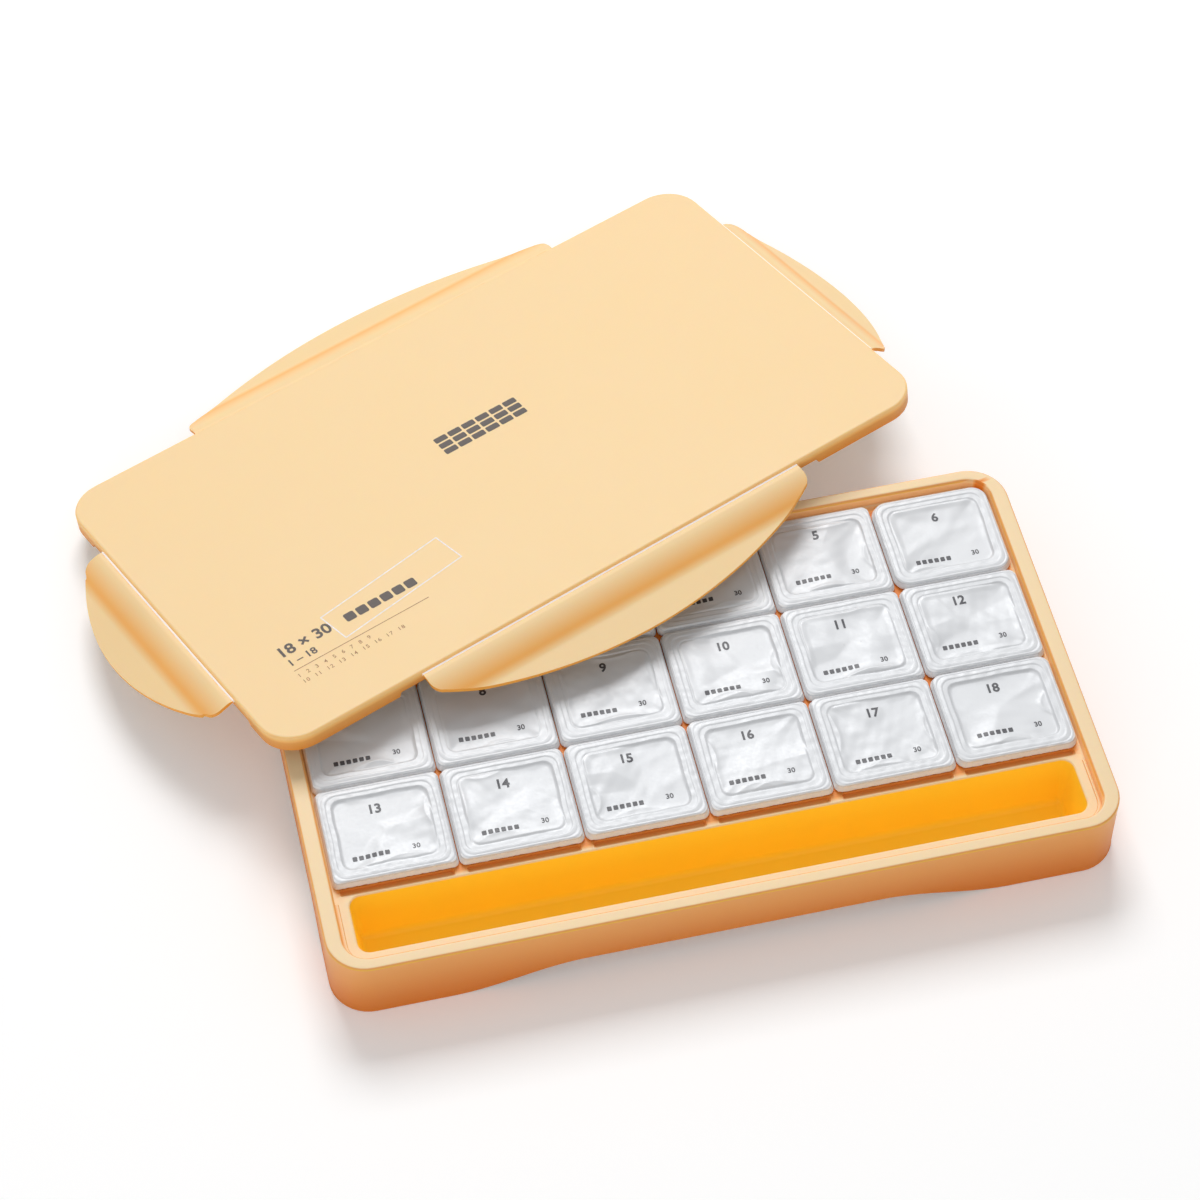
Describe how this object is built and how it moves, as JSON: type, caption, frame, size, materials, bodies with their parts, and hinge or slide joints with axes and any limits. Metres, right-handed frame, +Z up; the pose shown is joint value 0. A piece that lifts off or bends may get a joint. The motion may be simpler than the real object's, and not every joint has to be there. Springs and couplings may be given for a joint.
{
  "type": "gouache paint set box",
  "caption": "Flat plastic paint box with foil-sealed gouache cups in a grid, a brush trough along the front and a loose lid with hinged flaps, lying across it.",
  "frame": {"origin": "centre of the case's flat underside, where it rests on the table", "axes": "+X along the long side of the case to the right, +Y to the back, away from the brush trough, +Z up"},
  "size_m": [0.3561, 0.3501, 0.0464],
  "materials": {
    "case": "soft satin, slightly translucent yellow-orange polypropylene",
    "lid": "soft satin pale orange-yellow polypropylene",
    "flap": "soft satin pale orange-yellow polypropylene, whitened at the hinge line",
    "cup": "smooth white plastic",
    "foil": "crinkled silver-white sealing foil",
    "paint_white": "moist opaque paint",
    "paint_lemon": "moist opaque paint",
    "paint_golden_yellow": "moist opaque paint",
    "paint_orange": "moist opaque paint",
    "paint_vermilion": "moist opaque paint",
    "paint_carmine": "moist opaque paint",
    "paint_rose": "moist opaque paint",
    "paint_violet": "moist opaque paint",
    "paint_deep_blue": "moist opaque paint",
    "paint_sky_blue": "moist opaque paint",
    "paint_turquoise": "moist opaque paint",
    "paint_emerald": "moist opaque paint",
    "paint_leaf_green": "moist opaque paint",
    "paint_olive": "moist opaque paint",
    "paint_ochre": "moist opaque paint",
    "paint_sienna": "moist opaque paint",
    "paint_umber": "moist opaque paint",
    "paint_black": "moist opaque paint"
  },
  "bodies": {
    "case": {"case": "case"},
    "lid": {"lid": "lid"},
    "flap_front": {"flap_front": "flap"},
    "flap_rear": {"flap_rear": "flap"},
    "flap_left": {"flap_left": "flap"},
    "flap_right": {"flap_right": "flap"},
    "cup_01": {"cup_01": "cup", "paint_01": "paint_white", "foil_01": "foil"},
    "cup_02": {"cup_02": "cup", "paint_02": "paint_lemon", "foil_02": "foil"},
    "cup_03": {"cup_03": "cup", "paint_03": "paint_golden_yellow", "foil_03": "foil"},
    "cup_04": {"cup_04": "cup", "paint_04": "paint_orange", "foil_04": "foil"},
    "cup_05": {"cup_05": "cup", "paint_05": "paint_vermilion", "foil_05": "foil"},
    "cup_06": {"cup_06": "cup", "paint_06": "paint_carmine", "foil_06": "foil"},
    "cup_07": {"cup_07": "cup", "paint_07": "paint_rose", "foil_07": "foil"},
    "cup_08": {"cup_08": "cup", "paint_08": "paint_violet", "foil_08": "foil"},
    "cup_09": {"cup_09": "cup", "paint_09": "paint_deep_blue", "foil_09": "foil"},
    "cup_10": {"cup_10": "cup", "paint_10": "paint_sky_blue", "foil_10": "foil"},
    "cup_11": {"cup_11": "cup", "paint_11": "paint_turquoise", "foil_11": "foil"},
    "cup_12": {"cup_12": "cup", "paint_12": "paint_emerald", "foil_12": "foil"},
    "cup_13": {"cup_13": "cup", "paint_13": "paint_leaf_green", "foil_13": "foil"},
    "cup_14": {"cup_14": "cup", "paint_14": "paint_olive", "foil_14": "foil"},
    "cup_15": {"cup_15": "cup", "paint_15": "paint_ochre", "foil_15": "foil"},
    "cup_16": {"cup_16": "cup", "paint_16": "paint_sienna", "foil_16": "foil"},
    "cup_17": {"cup_17": "cup", "paint_17": "paint_umber", "foil_17": "foil"},
    "cup_18": {"cup_18": "cup", "paint_18": "paint_black", "foil_18": "foil"}
  },
  "joints": [
    {"name": "lid_lift", "type": "slide", "parent": "case", "child": "lid", "axis": [0, 0, 1], "range_m": [0, 0.12]},
    {"name": "flap_front_fold", "type": "hinge", "parent": "lid", "child": "flap_front", "pos_m": [-0.01208, 0.05877, 0.04351], "axis": [0.9288, 0.3703, 0.0096], "range_deg": [-70, 12]},
    {"name": "flap_rear_fold", "type": "hinge", "parent": "lid", "child": "flap_rear", "pos_m": [-0.07404, 0.21493, 0.01385], "axis": [-0.9288, -0.3703, -0.0096], "range_deg": [-70, 0]},
    {"name": "flap_left_fold", "type": "hinge", "parent": "lid", "child": "flap_left", "pos_m": [-0.18034, 0.08211, 0.02726], "axis": [0.3632, -0.9154, 0.1739], "range_deg": [-70, 60]},
    {"name": "flap_right_fold", "type": "hinge", "parent": "lid", "child": "flap_right", "pos_m": [0.09423, 0.19159, 0.0301], "axis": [-0.3632, 0.9154, -0.1739], "range_deg": [-85, 43]},
    {"name": "cup_01_lift", "type": "slide", "parent": "case", "child": "cup_01", "axis": [0, 0, 1], "range_m": [0, 0.001]},
    {"name": "cup_02_lift", "type": "slide", "parent": "case", "child": "cup_02", "axis": [0, 0, 1], "range_m": [0, 0.0045]},
    {"name": "cup_03_lift", "type": "slide", "parent": "case", "child": "cup_03", "axis": [0, 0, 1], "range_m": [0, 0.0025]},
    {"name": "cup_04_lift", "type": "slide", "parent": "case", "child": "cup_04", "axis": [0, 0, 1], "range_m": [0, 0.0025]},
    {"name": "cup_05_lift", "type": "slide", "parent": "case", "child": "cup_05", "axis": [0, 0, 1], "range_m": [0, 0.005]},
    {"name": "cup_06_lift", "type": "slide", "parent": "case", "child": "cup_06", "axis": [0, 0, 1], "range_m": [0, 0.035]},
    {"name": "cup_07_lift", "type": "slide", "parent": "case", "child": "cup_07", "axis": [0, 0, 1], "range_m": [0, 0.0065]},
    {"name": "cup_08_lift", "type": "slide", "parent": "case", "child": "cup_08", "axis": [0, 0, 1], "range_m": [0, 0.003]},
    {"name": "cup_09_lift", "type": "slide", "parent": "case", "child": "cup_09", "axis": [0, 0, 1], "range_m": [0, 0.0025]},
    {"name": "cup_10_lift", "type": "slide", "parent": "case", "child": "cup_10", "axis": [0, 0, 1], "range_m": [0, 0.0025]},
    {"name": "cup_11_lift", "type": "slide", "parent": "case", "child": "cup_11", "axis": [0, 0, 1], "range_m": [0, 0.035]},
    {"name": "cup_12_lift", "type": "slide", "parent": "case", "child": "cup_12", "axis": [0, 0, 1], "range_m": [0, 0.035]},
    {"name": "cup_13_lift", "type": "slide", "parent": "case", "child": "cup_13", "axis": [0, 0, 1], "range_m": [0, 0.035]},
    {"name": "cup_14_lift", "type": "slide", "parent": "case", "child": "cup_14", "axis": [0, 0, 1], "range_m": [0, 0.035]},
    {"name": "cup_15_lift", "type": "slide", "parent": "case", "child": "cup_15", "axis": [0, 0, 1], "range_m": [0, 0.035]},
    {"name": "cup_16_lift", "type": "slide", "parent": "case", "child": "cup_16", "axis": [0, 0, 1], "range_m": [0, 0.035]},
    {"name": "cup_17_lift", "type": "slide", "parent": "case", "child": "cup_17", "axis": [0, 0, 1], "range_m": [0, 0.035]},
    {"name": "cup_18_lift", "type": "slide", "parent": "case", "child": "cup_18", "axis": [0, 0, 1], "range_m": [0, 0.035]}
  ]
}
